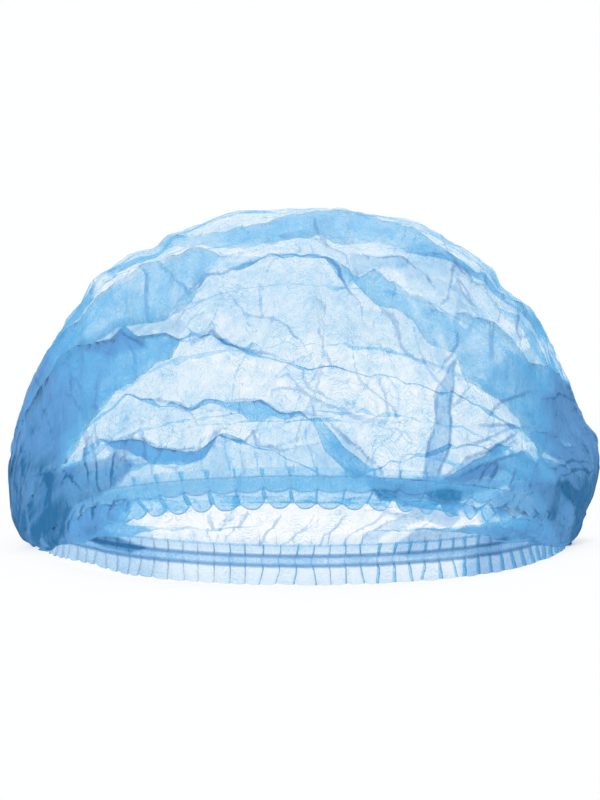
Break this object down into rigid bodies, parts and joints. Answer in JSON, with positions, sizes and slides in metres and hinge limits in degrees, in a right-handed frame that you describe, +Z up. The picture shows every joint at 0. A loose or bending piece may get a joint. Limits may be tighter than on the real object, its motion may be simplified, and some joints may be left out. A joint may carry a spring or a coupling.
{
  "type": "disposable hair cap",
  "caption": "Light blue see-through bouffant hair cap: a puffed, creased dome of thin nonwoven cloth on a ruffled elastic rim, welded at its two gathered ends",
  "frame": {"origin": "the middle of the cap's footprint, on the surface that its rim stands on", "axes": "X runs from the left end's weld to the right end's, -Y is the front with the narrow elastic, +Z is up"},
  "size_m": [0.2696, 0.2266, 0.1566],
  "materials": {
    "cloth": "matt, see-through spunbond nonwoven",
    "hem_cloth": "matt, doubled nonwoven in small pleats",
    "elastic": "satin flat elastic",
    "weld": "satin, heat-welded nonwoven"
  },
  "bodies": {
    "root": {"crown": "cloth", "front_hem": "hem_cloth", "rear_hem": "hem_cloth", "front_elastic": "elastic", "rear_elastic": "elastic", "left_weld": "weld", "right_weld": "weld"}
  },
  "joints": []
}
